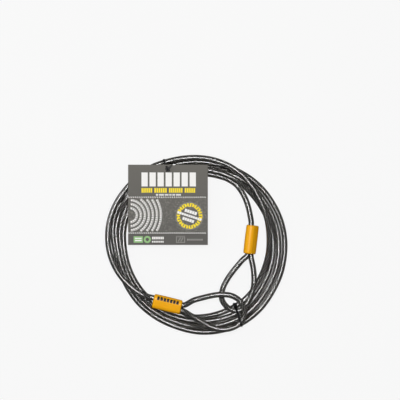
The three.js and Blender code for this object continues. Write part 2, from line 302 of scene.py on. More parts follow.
def drawnSteel(tree):
    # Galvanised steel wire rope, drawn and stranded: painted highlight on the wire crowns, painted shade
    # between the wires and in the grooves between strands. The surface map holds the share round the rope in
    # u and millimetres along it in v.
    surface = add(tree, "ShaderNodeUVMap", uv_map="surface")
    axes = add(tree, "ShaderNodeSeparateXYZ", {0: surface.outputs[0]})
    strand = math2(tree, "MULTIPLY", axes.outputs["X"], float(rope["strands"]))
    fromCrown = math2(tree, "ABSOLUTE", math2(tree, "SUBTRACT", math2(tree, "FRACT", strand), 0.5))
    turns = math2(tree, "ADD", math2(tree, "MULTIPLY", strand, rope["wiresAcross"]),
                  math2(tree, "DIVIDE", axes.outputs["Y"], rope["wirePitch"]))
    wire = math2(tree, "ABSOLUTE", math2(tree, "SINE", math2(tree, "MULTIPLY", turns, math.pi)))
    crownHighlight = math2(tree, "POWER", wire, rope["crownPower"])
    # painted highlight on each wire's crown and painted shade between the wires
    wireHighlightAndShade = mixColour(tree, crownHighlight, linear(rope["shadeBetweenWires"]), linear(rope["bright"]))
    grooveEnd, grooveStart = rope["valley"]
    onStrand = add(tree, "ShaderNodeMapRange", {
        "Value": fromCrown, "From Min": grooveEnd, "From Max": grooveStart,
    }, interpolation_type="SMOOTHSTEP").outputs[0]
    # near-black painted shade in the grooves between strands
    shade = mixColour(tree, onStrand, linear(rope["grooveShade"]), wireHighlightAndShade)
    bump = add(tree, "ShaderNodeBump", {"Height": wire, "Distance": rope["wireHeight"], "Strength": 0.9})
    steel = add(tree, "ShaderNodeBsdfPrincipled", {
        "Base Color": shade, "Metallic": 1.0, "Roughness": rangeOf(tree, wire, *rope["roughness"]),
        "Normal": bump.outputs[0],
    })
    return steel.outputs[0]


def pressedAluminium(tree):
    # Aluminium ferrule, swaged in a die: satin, with a fine uneven grain
    grain = noiseOf(tree, 1500.0)
    metal = add(tree, "ShaderNodeBsdfPrincipled", {
        "Base Color": mixColour(tree, grain, linear("#b9babb"), linear("#d2d3d4")), "Metallic": 1.0,
        "Roughness": rangeOf(tree, grain, 0.3, 0.5),
    })
    return metal.outputs[0]


def mouldedVinyl(tree):
    # Yellow PVC, injection moulded over the ferrule: full even colour, soft gloss, slight orange peel
    cloud = noiseOf(tree, 45.0)
    peel = noiseOf(tree, 1400.0, 2.0)
    bump = add(tree, "ShaderNodeBump", {"Height": peel, "Distance": 0.00012, "Strength": 0.5})
    plastic = add(tree, "ShaderNodeBsdfPrincipled", {
        "Base Color": mixColour(tree, cloud, linear("#f0a404"), linear("#fab60f")),
        "Roughness": rangeOf(tree, cloud, 0.3, 0.42), "Specular IOR Level": 0.3, "Subsurface Weight": 0.08,
        "Subsurface Radius": (0.003, 0.0015, 0.0004), "Normal": bump.outputs[0],
    })
    return plastic.outputs[0]


def blackNylon(tree):
    # Nylon 66, injection moulded: near-black, satin, with a fine die texture
    grain = noiseOf(tree, 2500.0)
    bump = add(tree, "ShaderNodeBump", {"Height": grain, "Distance": 0.00004, "Strength": 0.6})
    plastic = add(tree, "ShaderNodeBsdfPrincipled", {
        "Base Color": mixColour(tree, grain, linear("#0e0e0e"), linear("#1c1b1b")),
        "Roughness": rangeOf(tree, grain, 0.36, 0.5), "Specular IOR Level": 0.3, "Normal": bump.outputs[0],
    })
    return plastic.outputs[0]


cutLines = (85.6, 21.4)  # mm up the card, where the two rows of slanted dashes run
speckle = {"colour": "#a8a49b", "scale": 420.0, "detail": 4.0, "roughness": 0.75, "from": 0.52, "to": 0.72,
           "most": 0.75}


def printedCard(tree):
    # Coated card, offset printed in warm charcoal: a satin film with slight mottle, and a printed speckle
    # between the two rows of dashes
    place = add(tree, "ShaderNodeTexCoord")
    axes = add(tree, "ShaderNodeSeparateXYZ", {0: place.outputs["Object"]})
    low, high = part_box("hang_tag")
    height = axes.outputs["Y"]
    rise = add(tree, "ShaderNodeMapRange", {"Value": height, "From Min": low[1], "From Max": high[1]})
    base = mixColour(tree, rise.outputs[0], linear("#585652"), linear("#65625c"))
    above = math2(tree, "GREATER_THAN", height, low[1] + cutLines[1] * mm)
    below = math2(tree, "LESS_THAN", height, low[1] + cutLines[0] * mm)
    cloud = noiseOf(tree, speckle["scale"], speckle["detail"], speckle["roughness"])
    grit = add(tree, "ShaderNodeMapRange", {
        "Value": cloud, "From Min": speckle["from"], "From Max": speckle["to"], "To Max": speckle["most"],
    }).outputs[0]
    share = math2(tree, "MULTIPLY", grit, math2(tree, "MULTIPLY", above, below))
    shade = mixColour(tree, share, base, linear(speckle["colour"]))
    peel = noiseOf(tree, 900.0, 2.0)
    bump = add(tree, "ShaderNodeBump", {"Height": peel, "Distance": 0.00003, "Strength": 0.5})
    film = add(tree, "ShaderNodeBsdfPrincipled", {
        "Base Color": shade, "Roughness": rangeOf(tree, peel, 0.42, 0.55), "Normal": bump.outputs[0],
        "Specular IOR Level": 0.15,
    })
    return film.outputs[0]


def cutPaper(tree):
    # The cut edge of the card: pale bare board with short fibres
    fibre = noiseOf(tree, 2200.0)
    board = add(tree, "ShaderNodeBsdfPrincipled", {
        "Base Color": mixColour(tree, fibre, linear("#b4b0a8"), linear("#d8d5ce")), "Roughness": 0.85,
    })
    return board.outputs[0]


def inkOf(dark, light):
    # Offset ink on coated card: satin, with a fine dot grain
    def build(tree):
        dots = noiseOf(tree, 1100.0, 2.0)
        ink = add(tree, "ShaderNodeBsdfPrincipled", {
            "Base Color": mixColour(tree, dots, linear(dark), linear(light)),
            "Roughness": rangeOf(tree, dots, 0.4, 0.55), "Specular IOR Level": 0.2,
        })
        return ink.outputs[0]

    return build


def paintedFloor(tree):
    # Matt studio board. It glows for the camera's rays alone, so it doesn't brighten the cable's sides.
    rays = add(tree, "ShaderNodeLightPath")
    board = add(tree, "ShaderNodeBsdfPrincipled", {
        "Base Color": mixColour(tree, noiseOf(tree, 2.0), *map(linear, studio["floorColours"])),
        "Roughness": 0.9, "Specular IOR Level": 0.1, "Emission Color": linear("#ffffff"),
        "Emission Strength": math2(tree, "MULTIPLY", rays.outputs["Is Camera Ray"], studio["floorGlow"]),
    })
    return board.outputs[0]


finish = {
    "vinyl": newMaterial("clear_smoke_vinyl", clearVinyl),
    "rope": newMaterial("drawn_steel_wire", drawnSteel),
    "ferrule": newMaterial("pressed_aluminium", pressedAluminium),
    "sleeve": newMaterial("moulded_yellow_vinyl", mouldedVinyl),
    "nylon": newMaterial("black_nylon", blackNylon),
    "card": newMaterial("printed_card", printedCard),
    "edge": newMaterial("cut_board", cutPaper),
    "white": newMaterial("white_ink", inkOf("#ebe9e5", "#f3f1ee")),
    "yellow": newMaterial("yellow_ink", inkOf("#f8d90a", "#fde52a")),
    "green": newMaterial("green_ink", inkOf("#7fae6c", "#9cc487")),
    "grey": newMaterial("grey_ink", inkOf("#85837e", "#93918c")),
    "dark": newMaterial("dark_ink", inkOf("#26241f", "#35322c")),
    "floor": newMaterial("studio_board", paintedFloor),
}

half = studio["floorHalf"]
floor = makePiece("floor", [(-half, -half, 0), (half, -half, 0), (half, half, 0), (-half, half, 0)],
                  [(0, 1, 2, 3)], finish["floor"], smooth=False)
print("materials and floor made")

cable = {"diameter": 10.0, "jacketStep": 4.0, "jacketSides": 24, "ropeStep": 3.2, "ropeColumns": 36}
sleeve = {
    "length": 51.5, "width": 26.5, "height": 18.0,
    "wall": 2.1, "mouthDepth": 3.0, "endRound": 2.3, "belly": 0.35,
    "lip": (0.5, 0.12, 0.15),  # the mouth's edge: where it starts and ends, and how much wider it gets
    "partingLine": 0.14, "partingSpread": 0.05,
    "legGap": 10.3,  # between the middles of the two legs
    "legInside": (-16.0, 0.0, 14.0),  # the bare rope's points in the ferrule
    "ferruleEnd": 19.3,
    "legRun": 4.0,  # how far a leg stays straight past the sleeve
}


def sleeveFrame(x, y, heading, standingSide, roll, lowest):
    # axis, towards the eye = (cos heading, sin heading, 0); side, towards the standing leg = the level
    # normal turned up by the roll; up = axis x side
    heading, roll = math.radians(heading), math.radians(roll)
    axis = np.array([math.cos(heading), math.sin(heading), 0.0])
    side = standingSide * math.cos(roll) * np.array([-axis[1], axis[0], 0.0]) + [0.0, 0.0, math.sin(roll)]
    z = lowest + sleeve["height"] / 2 + (sleeve["width"] - sleeve["height"]) / 2 * math.sin(roll)
    return {"origin": np.array([x, y, z]), "axis": axis, "side": side, "up": np.cross(axis, side)}


def inFrame(place, x, y, z=0.0):
    x, y, z = (np.asarray(v)[..., None] for v in (x, y, z))
    return place["origin"] + x * place["axis"] + y * place["side"] + z * place["up"]


leftFrame = sleeveFrame(x=-55, y=-106, heading=-13.5, standingSide=1, roll=12, lowest=19.3)
rightFrame = sleeveFrame(x=95.5, y=9, heading=-96.7, standingSide=-1, roll=52, lowest=0.3)
sleeveEnd = sleeve["length"] / 2
straightOut = np.array([sleeve["ferruleEnd"], sleeveEnd, sleeveEnd + sleeve["legRun"]])


def legOut(place, side):
    return list(inFrame(place, straightOut, side * sleeve["legGap"] / 2 * np.ones(3)))


def leadOut(place):
    return list(inFrame(place, -straightOut, sleeve["legGap"] / 2 * np.ones(3)))


def polar(radius, degrees, z):
    return np.array([radius * math.cos(math.radians(degrees)), radius * math.sin(math.radians(degrees)), z])


# The cable's route is given as radius, angle and height, and then settled, so that turns touch but
# don't run into each other.
leftLead = [polar(*p) for p in (
    (133, 222.5, 27.3), (139.5, 215, 25.3), (147.5, 205, 24.3), (154, 195, 24.3), (159, 185, 24.3),
    (162, 176, 22.8), (164, 167, 19.8), (164.5, 158, 16.3), (164, 150, 13.8),
)]
overTurns = [polar(*p) for p in (
    (162.6, 141, 13), (161.8, 132, 12.8), (161.9, 121, 12.8), (159.4, 112, 13.3), (157.6, 102, 12.8),
    (156.4, 92, 12.6), (154.9, 81, 12.6), (152.4, 70, 13.6), (149, 60, 15.2), (145.4, 52, 15.3),
    (141.4, 44, 15.3), (137.5, 36, 15.3), (134.4, 28, 15.3), (131.6, 18, 14.6), (128.9, 6, 12.6),
    (127.8, -8, 10), (127.4, -25, 6.8), (130, -44, 5), (131.2, -58, 5.8), (131, -70, 6), (131.4, -82, 8.5),
    (131.4, -95, 11.2), (131.4, -115, 12.4),
)]
# The rest of the turns, wound in a bundle: at each angle the radius and height of its four strands, from
# the first turn to the last. They change lanes between 160 and 104 degrees, where the last dives under.
bundle = [
    (228, (131.5, 12.5), (137.5, 5), (143, 12), (150.5, 5)),
    (215, (131.5, 12.8), (137.6, 5), (142.6, 12.8), (149, 5)),
    (200, (131.7, 12.8), (137.8, 5), (142.5, 13.2), (148, 5)),
    (185, (132.8, 12.8), (138.8, 5), (143.8, 13.2), (149.5, 5)),
    (170, (136.2, 12), (143.2, 5), (149.8, 12.8), (156, 5)),
    (158, (137.8, 12), (144.8, 5), (152, 12.8), (158.5, 5)),
    (150, (137.5, 11.2), (145.5, 5), (152.5, 14.4), (156, 5)),
    (142, (133, 7.5), (142.5, 11), (153.5, 14.5), (150.5, 5)),
    (134, (133.5, 6), (143, 15), (153, 10), (144.5, 5)),
    (126, (131, 11.8), (143, 14), (151.5, 5), (138.5, 5)),
    (118, (131, 14.8), (142, 9.5), (151, 5.3), (133, 5)),
    (112, (131.5, 14.7), (139.2, 5.5), (151, 6.5), (129, 5)),
    (104, (133, 14), (139, 5), (150, 5.3), (128.5, 5)),
    (92, (134, 13.7), (138.7, 5), (148.8, 5), (128.5, 5)),
    (80, (134.7, 13.7), (138.7, 5), (148.2, 5), (128.5, 5)),
    (68, (135, 13.6), (139.6, 5), (149.4, 5), (129.5, 5.1)),
    (57, (134.8, 12.4), (141, 5), (150.8, 5), None),
    (46, (133, 8.5), (142.2, 5), (152.3, 5), None),
    (34, (132.8, 5), (142.9, 5), (153.3, 5), None),
    (18, (134.2, 5), (144.3, 5), (155, 5), None),
    (3, (135.6, 5), (145.7, 5), (156.4, 5), None),
    (-12, (136.5, 5), (147, 5), (157.2, 5), None),
    (-25, (137.5, 5), (148, 5), (158.2, 5), None),
    (-44, (140.2, 5), (150.4, 5), (160.8, 5), None),
    (-58, (141.2, 5.8), (151.3, 5.8), (161.3, 5.8), None),
    (-70, (140.6, 5), (150.6, 5), (160.5, 5), None),
    (-82, (140, 5), (149, 6), (158.6, 5), None),
    (-95, (139, 5), (147, 9.8), (155.8, 5), None),
    (-115, (137.6, 5), (144, 11.2), (152, 5), None),
]
rightLead = [
    np.array((93.8, 52, 15)), np.array((90.6, 67, 13)), np.array((85.5, 82, 11)), np.array((78.5, 95.5, 8.5)),
    polar(128, 57, 6.2), polar(129.5, 65, 5.3),
]


def cableRoute():
    turns = [
        polar(radius, angle, z)
        for strand in range(4)
        for angle, (radius, z) in ((row[0], row[1 + strand]) for row in bundle if row[1 + strand])
    ]
    # the last strand leaves at 68 degrees, where the lead into the right sleeve takes it up
    return [*leadOut(leftFrame), *leftLead, *overTurns, *turns,
            *reversed(rightLead), *reversed(leadOut(rightFrame))]


leftEyeRoute = [
    *legOut(leftFrame, 1),
    (-8, -99.5, 26.9), (8, -95, 25.9), (25, -91, 25.9), (43, -89, 25.9), (61, -91.5, 25.9),
    (75, -100.5, 25.9), (82.5, -115, 25.9), (82, -129.5, 25.9), (73.5, -142, 25.9), (57.5, -150, 25.9),
    (38, -151.5, 25.9), (18, -144.5, 25.9), (0, -134, 25.9), (-15, -125.5, 26.4),
    *reversed(legOut(leftFrame, -1)),
]
rightEyeRoute = [
    *legOut(rightFrame, 1),
    (82, -25.5, 16.8), (71, -38, 16.3), (60.5, -51, 15.8), (51.5, -64.5, 15.3), (45.5, -76.5, 15.3),
    (42.5, -88.5, 15.3), (42.8, -98, 15.3), (47, -106.5, 15.3), (54.5, -114, 15.3), (63.5, -118.5, 15.3),
    (73, -119, 15.3), (81.5, -114, 15.3), (88.5, -105, 15.3), (94.5, -93.5, 15.3), (99, -80.5, 15.3),
    (100.8, -67, 15.3), (100.6, -54, 13.8), (99, -40, 11.8),
    *reversed(legOut(rightFrame, -1)),
]


settling = {
    "step": 4.5,  # mm between the points that settle
    "rounds": 260,
    "straps": (112.0, -60.6),  # degrees round the coil
    "strapSpread": 7.0,  # degrees
    "strapLift": 1.6,
    "held": (10, 12),  # points that stay put at the start and at the end
    "ease": 9,  # points over which the hold fades
    "ownReach": 8,  # points along the same strand that don't push one another
    "keep": 0.999,  # share of its shift that a point keeps in each round
}


def settle(line, fixed):
    # Strands closer than a diameter push each other half way apart, the floor and the two straps under the
    # bundle push up, and each point's shift is evened out with its neighbours', which stands for stiffness.
    size = cable["diameter"]
    start = line.copy()
    count = len(line)
    angle = np.degrees(np.arctan2(line[:, 1], line[:, 0]))
    spread, ease = settling["strapSpread"], settling["ease"]
    strap = sum(np.exp(-(((angle - at + 180) % 360 - 180) / spread) ** 2) for at in settling["straps"])
    lowest = size / 2 + settling["strapLift"] * strap
    heldFirst, heldLast = settling["held"]
    hold = np.ones(count)
    hold[:heldFirst] = hold[-heldLast:] = 0.0
    hold = np.convolve(hold, np.ones(ease) / ease, mode="same") * (hold > 0)
    everything = np.vstack([line, fixed])
    for _ in range(settling["rounds"]):
        everything[:count] = line
        square = (line**2).sum(1)[:, None] + (everything**2).sum(1)[None, :] - 2 * line @ everything.T
        a, b = np.nonzero(square < size**2)
        far = (np.abs(a - b) > settling["ownReach"]) | (b >= count)
        a, b = a[far], b[far]
        apart = line[a] - everything[b]
        distance = np.linalg.norm(apart, axis=1, keepdims=True) + 1e-9
        share = np.where(b < count, 0.5, 1.0)[:, None]
        push = np.zeros_like(line)
        times = np.zeros(count)
        np.add.at(push, a, apart / distance * (size - distance) * share)
        np.add.at(times, a, 1.0)
        shift = line - start + push / np.maximum(times, 1.0)[:, None]
        shift[:, 2] = np.maximum(shift[:, 2], lowest - start[:, 2])
        even = shift.copy()
        even[1:-1] = 0.25 * shift[:-2] + 0.5 * shift[1:-1] + 0.25 * shift[2:]
        line = start + settling["keep"] * even * hold[:, None]
    line[:, 2] = np.where(hold > 0, np.maximum(line[:, 2], size / 2), line[:, 2])
    return line


leftEye = smoothLine(leftEyeRoute, settling["step"])
rightEye = smoothLine(rightEyeRoute, settling["step"])
route = settle(smoothLine(cableRoute(), settling["step"]), np.vstack([leftEye, rightEye]))


def capped(points, faces, uv=None):
    # closes the two ends of a tube's grid with one face each
    rows, columns = points.shape[:2]
    ends = [list(range(columns))[::-1], list(range((rows - 1) * columns, rows * columns))]
    if uv is not None:
        uv = np.vstack([uv, np.zeros((2 * columns, 2))])
    return points.reshape(-1, 3), faces.tolist() + ends, uv


def jacketPiece(name, line):
    # a round tube along the line: radius = half the diameter
    sides = cable["jacketSides"]
    line = smoothLine(line, cable["jacketStep"])
    turn = np.linspace(0, 2 * math.pi, sides, endpoint=False) * np.ones((len(line), 1))
    grid = tubeAlong(line, np.full(turn.shape, cable["diameter"] / 2), turn)
    points, faces, _ = capped(grid, gridFaces(*grid.shape[:2]))
    return makePiece(name, points, faces, finish["vinyl"]), line


def ropePiece(name, line):
    # n round strands twisted about the middle. Off the crown by an angle a, a strand of radius s centred c
    # from the middle reaches c cos a + sqrt(s^2 - (c sin a)^2); columns follow the twist.
    columns, strands = cable["ropeColumns"], rope["strands"]
    line = smoothLine(line, cable["ropeStep"])
    along = lengthAlong(line)
    share = np.arange(columns) / columns
    offCrown = (share * strands % 1.0 - 0.5) * 2 * math.pi / strands
    thick = rope["radius"] * math.sin(math.pi / strands) / (1 + math.sin(math.pi / strands))
    centre = rope["radius"] - thick
    reach = centre * np.cos(offCrown) + np.sqrt(np.maximum(thick**2 - (centre * np.sin(offCrown)) ** 2, 0.0))
    turn = 2 * math.pi * (share[None, :] + along[:, None] / rope["lay"])
    grid = tubeAlong(line, np.ones((len(line), 1)) * reach, turn)
    uv = gridUv(np.append(share, 1.0), along)
    points, faces, uv = capped(grid, gridFaces(*grid.shape[:2]), uv)
    return makePiece(name, points, faces, finish["rope"], uv=uv)


def withLegs(place, line):
    # the rope's two legs run on into the ferrule, past the end of the jacket
    inside, aside = sleeve["legInside"], sleeve["legGap"] / 2
    standing = [inFrame(place, x, aside) for x in inside]
    folded = [inFrame(place, x, -aside) for x in reversed(inside)]
    return np.vstack([standing, line, folded])


cableJacket, jacketLine = jacketPiece("cableJacket", route)
cableRope = ropePiece("cableRope", route)
leftEyeJacket, _ = jacketPiece("leftEyeJacket", leftEye)
leftEyeRope = ropePiece("leftEyeRope", withLegs(leftFrame, leftEye))
rightEyeJacket, _ = jacketPiece("rightEyeJacket", rightEye)
rightEyeRope = ropePiece("rightEyeRope", withLegs(rightFrame, rightEye))
for jacket, wire in ((cableJacket, cableRope), (leftEyeJacket, leftEyeRope), (rightEyeJacket, rightEyeRope)):
    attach(jacket, "cable")
    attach(wire, "cable")
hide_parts("cable_coil", "left_lead", "right_lead")
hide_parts("left_eye_jacket")
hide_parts("left_eye_core")
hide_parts("right_eye_jacket")
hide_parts("right_eye_core")
print("cable and eyes made")


def stadium(halfFlat, radius):
    # a rectangle with round ends: centre (+-halfFlat, 0) + radius (cos t, sin t)
    count = 72
    t = np.linspace(-math.pi / 2, 1.5 * math.pi, count, endpoint=False) + math.pi / count
    centre = np.where(np.cos(t) > 0, halfFlat, -halfFlat)
    return centre + radius * np.cos(t), radius * np.sin(t), t


def sleevePiece(name, place):
    # stadium sections along the axis: from the floor of the back mouth, out over its rim, along the body and
    # in again at the front. body radius = full radius - belly (x / half)^2, less a round at each end.
    half, full = sleeveEnd, sleeve["height"] / 2
    halfFlat = sleeve["width"] / 2 - full
    inner = full - sleeve["wall"]
    fillet = np.linspace(0, math.pi / 2, 7)
    r = sleeve["endRound"]
    afterRound = 1.5  # mm from a round to the body's first section
    shut = 0.02  # mm: a radius small enough to close the mouth's floor
    lipFrom, lipTo, lipOut = sleeve["lip"]
    mouth = -half + sleeve["mouthDepth"]
    endX = [mouth, mouth, -half + lipFrom, -half + lipTo, *(-half + r - r * np.cos(fillet))]
    endRadius = [shut, inner, inner, inner + lipOut, *(full - sleeve["belly"] - r + r * np.sin(fillet))]
    bodyX = np.linspace(-half + r + afterRound, half - r - afterRound, 25)
    bodyRadius = full - sleeve["belly"] * (bodyX / half) ** 2
    x = np.array([*endX, *bodyX, *(-v for v in reversed(endX))])
    radius = np.array([*endRadius, *bodyRadius, *reversed(endRadius)])
    y, z, turn = stadium(halfFlat, radius[:, None])
    outside = (radius > inner + 1.0)[:, None]
    ridge = sleeve["partingLine"] * np.exp(-(np.sin(turn) / sleeve["partingSpread"]) ** 2) * outside
    grid = inFrame(place, x[:, None] + 0 * y, y + ridge * np.sign(np.cos(turn)), z)
    return makePiece(name, grid.reshape(-1, 3), gridFaces(*grid.shape[:2]), finish["sleeve"], merge=True)


sleeveMark = {
    "count": 7, "pitch": 5.8, "width": 4.5, "height": 5.4, "across": 8.8, "lift": 0.06, "thick": 0.1,
}


def sleeveMarkPiece(name, place):
    # a row of plain printed blocks that follow the sleeve: height over its flat middle = sqrt(R^2 - y'^2),
    # where y' is what is left of y past the flat
    mark = sleeveMark
    full = sleeve["height"] / 2
    halfFlat = sleeve["width"] / 2 - full
    blocks = []
    for i in range(mark["count"]):
        centre = (i - (mark["count"] - 1) / 2) * mark["pitch"]
        u, v = np.meshgrid(np.linspace(-0.5, 0.5, 5), np.linspace(-0.5, 0.5, 7), indexing="ij")
        blocks.append(np.stack([centre + u * mark["width"], mark["across"] + v * mark["height"]], axis=-1))

    def height(flat, lift):
        past = np.maximum(np.abs(flat[..., 1]) - halfFlat, 0)
        bow = sleeve["belly"] * (flat[..., 0] / sleeveEnd) ** 2
        return np.sqrt((full - bow) ** 2 - past**2) + lift

    top = mark["lift"] + mark["thick"]
    points, faces = slabs(blocks, lambda f: height(f, mark["lift"]), lambda f: height(f, top))
    return makePiece(name, inFrame(place, *points.T), faces, finish["dark"], smooth=False)


def slabs(patches, low, high):
    # each patch is an (n, m, 2) grid of flat points; it becomes a closed slab between two height functions
    points, faces, first = [], [], 0
    for flat in patches:
        rows, columns = flat.shape[:2]
        size = rows * columns
        for height in (low, high):
            points.append(np.dstack([flat, height(flat)]).reshape(-1, 3))
        grid = gridFaces(rows, columns, wrap=False) + first
        index = np.arange(size).reshape(rows, columns) + first
        rim = np.concatenate([index[0, :], index[1:, -1], index[-1, -2::-1], index[-2:0:-1, 0]])
        after = np.roll(rim, -1)
        faces += [grid, grid[:, ::-1] + size, np.stack([rim, after, after + size, rim + size], axis=1)]
        first += 2 * size
    return np.vstack(points), np.vstack(faces)


for side, place in (("left", leftFrame), ("right", rightFrame)):
    body = sleevePiece(side + "Sleeve", place)
    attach(body, "cable")
    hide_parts(side + "_sleeve")
    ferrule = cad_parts[side + "_ferrule"].data
    ferrule.materials.clear()
    ferrule.materials.append(finish["ferrule"])
    if side == "left":
        marks = sleeveMarkPiece("leftSleeveMark", place)
        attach(marks, "cable")

metres(leadOut(leftFrame)[1])

# A cable tie is a strap round the cables that it holds, a head with a pocket and a trimmed tail.
tie = {
    "width": 3.8, "thick": 1.1, "slack": 0.1, "ridgePitch": 1.1, "ridgeDepth": 0.16,
    "corner": (0.25, 0.45),  # powers of the strap's section across and through: the lower, the squarer
    "head": (7.8, 6.6, 4.4), "pocket": (3.4, 2.4, 1.6), "tailWidth": 3.0, "tailThick": 1.0,
}


def upright(x, y, heading):
    # the frame of an upright plane: axis along its heading, side square to it, up
    away = math.radians(heading)
    return {"origin": np.array([x, y, 0.0]), "axis": np.array([math.cos(away), math.sin(away), 0.0]),
            "side": np.array([-math.sin(away), math.cos(away), 0.0]), "up": np.array([0.0, 0.0, 1.0])}


def hullRound(circles, step):
    # the tight closed line round some circles (out, up, radius): the convex hull of their points, by angle
    t = np.linspace(0, 2 * math.pi, 96, endpoint=False)
    cloud = np.vstack([np.stack([u + r * np.cos(t), z + r * np.sin(t)], axis=1) for u, z, r in circles])
    direction = np.linspace(0, 2 * math.pi, 720, endpoint=False)
    normal = np.stack([np.cos(direction), np.sin(direction)], axis=1)
    support = cloud[(cloud @ normal.T).argmax(axis=0)]
    keep = np.concatenate([[True], np.linalg.norm(np.diff(support, axis=0), axis=1) > 0.05])
    corners = support[keep]
    closed = np.vstack([corners, corners[:1]])
    closed = np.stack([closed[:, 0], np.zeros(len(closed)), closed[:, 1]], axis=1)
    return evenSteps(closed, step)[:-1]


def strapPart(place, line, width, thick, closed=True):
    # a rounded rectangle carried along a line in the upright plane; its inner face has cross ridges
    ahead = np.roll(line, -1, axis=0) if closed else np.vstack([line[1:], 2 * line[-1:] - line[-2:-1]])
    behind = np.roll(line, 1, axis=0) if closed else np.vstack([2 * line[:1] - line[1:2], line[:-1]])
    run = ahead - behind
    run /= np.linalg.norm(run, axis=1, keepdims=True)
    out = np.stack([run[:, 2], 0 * run[:, 0], -run[:, 0]], axis=1)
    t = np.linspace(0, 2 * math.pi, 16, endpoint=False)
    across, through = tie["corner"]
    y = width / 2 * np.sign(np.cos(t)) * np.abs(np.cos(t)) ** across
    z = thick / 2 * np.sign(np.sin(t)) * np.abs(np.sin(t)) ** through
    along = lengthAlong(line)[:, None]
    cut = tie["ridgeDepth"] * (0.5 + 0.5 * np.cos(2 * math.pi * along / tie["ridgePitch"]))
    inward = (z < -0.3 * thick)[None, :] * (np.abs(y) < 0.4 * width)[None, :]
    z = z[None, :] + cut * inward
    flat = line[:, None, :] + z[..., None] * out[:, None, :]
    flat[..., 1] += y[None, :] * np.ones((len(line), 1))
    grid = inFrame(place, flat[..., 0], flat[..., 1], flat[..., 2])
    if closed:
        grid = np.concatenate([grid, grid[:1]])
    return grid


def ringStack(sections, turn, origin):
    # rounded rectangles (half length, half width, height, squareness) one after another, turned and placed
    t = np.linspace(0, 2 * math.pi, 40, endpoint=False)
    s = np.array(sections)
    power = 2 / s[:, 3][:, None]
    x = s[:, 0][:, None] * np.sign(np.cos(t)) * np.abs(np.cos(t)) ** power
    y = s[:, 1][:, None] * np.sign(np.sin(t)) * np.abs(np.sin(t)) ** power
    z = s[:, 2][:, None] + 0 * x
    c, d = math.cos(turn), math.sin(turn)
    return np.stack([origin[0] + c * x - d * z, origin[1] + y, origin[2] + d * x + c * z], axis=-1)


def headSections():
    # base, swelling side, rounded top, then down the pocket's wall to its floor
    length, width, high = tie["head"]
    pocketX, pocketY, deep = tie["pocket"]
    a, b = length / 2, width / 2
    side = [(0.01, 0.01, 0.0, 4), (a - 0.8, b - 0.8, 0.0, 5), (a - 0.2, b - 0.2, 0.25, 6), (a, b, 0.9, 7),
            (a, b, high - 1.1, 7), (a - 0.25, b - 0.25, high - 0.35, 6), (a - 0.9, b - 0.9, high, 5)]
    pocket = [(pocketX / 2 + 0.25, pocketY / 2 + 0.25, high, 5), (pocketX / 2, pocketY / 2, high - 0.25, 6),
              (pocketX / 2, pocketY / 2, high - deep, 6), (0.01, 0.01, high - deep, 4)]
    return side + pocket


def tiePiece(name, place, circles, lay):
    # the strap's loop lies in the plane of place; the tail leaves the head in an upright plane of its own,
    # as start + rise t + curl t^2
    points, faces, first = [], [], 0
    loop = strapPart(place, hullRound(circles, tie["ridgePitch"] / 4), tie["width"], tie["thick"])
    headAt = np.array(lay["head"])
    head = ringStack(headSections(), math.radians(lay["headTurn"]), headAt)
    head = inFrame(place, head[..., 0], head[..., 1], head[..., 2])
    for grid in (loop, head):
        points.append(grid.reshape(-1, 3))
        faces.append(gridFaces(*grid.shape[:2]) + first)
        first += grid.shape[0] * grid.shape[1]
    x, y, _ = inFrame(place, *headAt)
    t = np.linspace(0, 1, 14)[:, None]
    start = [0.0, 0.0, headAt[2] + lay["tailUp"]]
    tail = start + t * np.array(lay["tailRise"]) + t**2 * np.array(lay["tailCurl"])
    tailPlane = upright(x, y, lay["tailHeading"])
    stub = strapPart(tailPlane, tail, tie["tailWidth"], tie["tailThick"], closed=False)
    points.append(stub.reshape(-1, 3))
    rows, columns = stub.shape[:2]
    faces = np.vstack([*faces, gridFaces(rows, columns) + first]).tolist()
    faces.append([first + k for k in range(columns)][::-1])
    faces.append([first + (rows - 1) * columns + k for k in range(columns)])
    piece = makePiece(name, np.vstack(points), faces, finish["nylon"], merge=True)
    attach(piece, "cable")
    return piece


def crossings(line, place, reach):
    # where a cable's line passes through an upright plane: (out, up) at each change of side
    across = (line - place["origin"]) @ place["side"]
    out = (line - place["origin"]) @ place["axis"]
    at = np.nonzero((across[:-1] * across[1:] <= 0) & (np.abs(out[:-1]) < reach))[0]
    t = across[at] / (across[at] - across[at + 1])
    return [(float(out[i] + f * (out[i + 1] - out[i])), float(line[i, 2] + f * (line[i + 1, 2] - line[i, 2])))
            for i, f in zip(at, t)]


strapRadius = cable["diameter"] / 2 + tie["thick"] / 2 + tie["slack"]
eyeLay = {
    "place": (72.5, -128.5, -72), "reach": 26.0,
    "head": (-18.6, 0.0, 17.4), "headTurn": 62,
    "tailHeading": 116, "tailUp": 0.0, "tailRise": (5.5, 0.0, 7.0), "tailCurl": (1.5, 0.0, 0.0),
}
eyePlane = upright(*eyeLay["place"])
eyeHeld = [c for line in (route, leftEye, rightEye) for c in crossings(line, eyePlane, eyeLay["reach"])]
print("eye tie holds cables at", [(round(u, 1), round(z, 1)) for u, z in eyeHeld])
eyeTie = tiePiece("eyeTie", eyePlane, [(u, z, strapRadius) for u, z in eyeHeld], eyeLay)
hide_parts("eye_tie")

